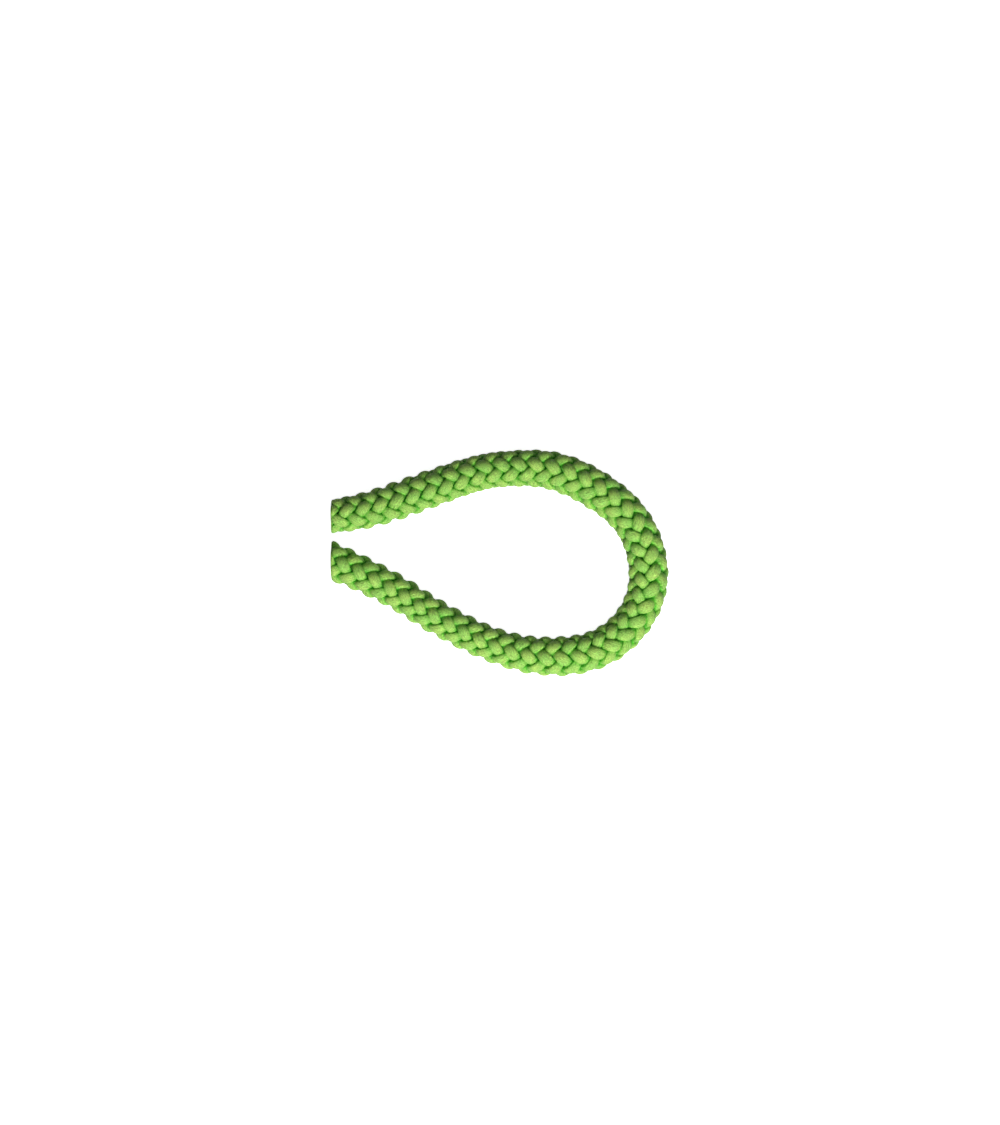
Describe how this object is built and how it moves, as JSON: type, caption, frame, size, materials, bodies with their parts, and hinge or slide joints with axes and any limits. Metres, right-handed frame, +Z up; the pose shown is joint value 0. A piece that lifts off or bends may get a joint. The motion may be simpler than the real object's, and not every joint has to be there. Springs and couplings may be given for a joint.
{
  "type": "dynamic climbing rope",
  "caption": "Short bight of kernmantle climbing rope laid in an open loop: braided sheath strands round parallel core strands, with hot-cut fused ends.",
  "frame": {"origin": "middle of the loop's footprint, on the surface that it lies on", "axes": "+X from the cut ends towards the bight, +Y from the lower leg towards the upper leg, +Z up from the surface"},
  "size_m": [0.091, 0.061, 0.01],
  "materials": {
    "sheath_yarn": "braided polyamide yarn, bright yellow-green, matt with a faint sheen",
    "core_yarn": "plied white polyamide yarn, undyed",
    "marking_tape": "thin blank woven tape",
    "fused_core": "polyamide melted by a hot knife and set hard"
  },
  "bodies": {
    "root": {"sheath_strand_01": "sheath_yarn", "sheath_strand_02": "sheath_yarn", "sheath_strand_03": "sheath_yarn", "sheath_strand_04": "sheath_yarn", "sheath_strand_05": "sheath_yarn", "sheath_strand_06": "sheath_yarn", "sheath_strand_07": "sheath_yarn", "sheath_strand_08": "sheath_yarn", "sheath_strand_09": "sheath_yarn", "sheath_strand_10": "sheath_yarn", "sheath_strand_11": "sheath_yarn", "sheath_strand_12": "sheath_yarn", "sheath_strand_13": "sheath_yarn", "sheath_strand_14": "sheath_yarn", "sheath_strand_15": "sheath_yarn", "sheath_strand_16": "sheath_yarn", "core_strand_01": "core_yarn", "core_strand_02": "core_yarn", "core_strand_03": "core_yarn", "core_strand_04": "core_yarn", "core_strand_05": "core_yarn", "core_strand_06": "core_yarn", "core_strand_07": "core_yarn", "core_strand_08": "core_yarn", "core_strand_09": "core_yarn", "core_strand_10": "core_yarn", "core_strand_11": "core_yarn", "core_strand_12": "core_yarn", "marking_tape": "marking_tape", "fused_plug_upper": "fused_core", "fused_plug_lower": "fused_core"}
  },
  "joints": []
}
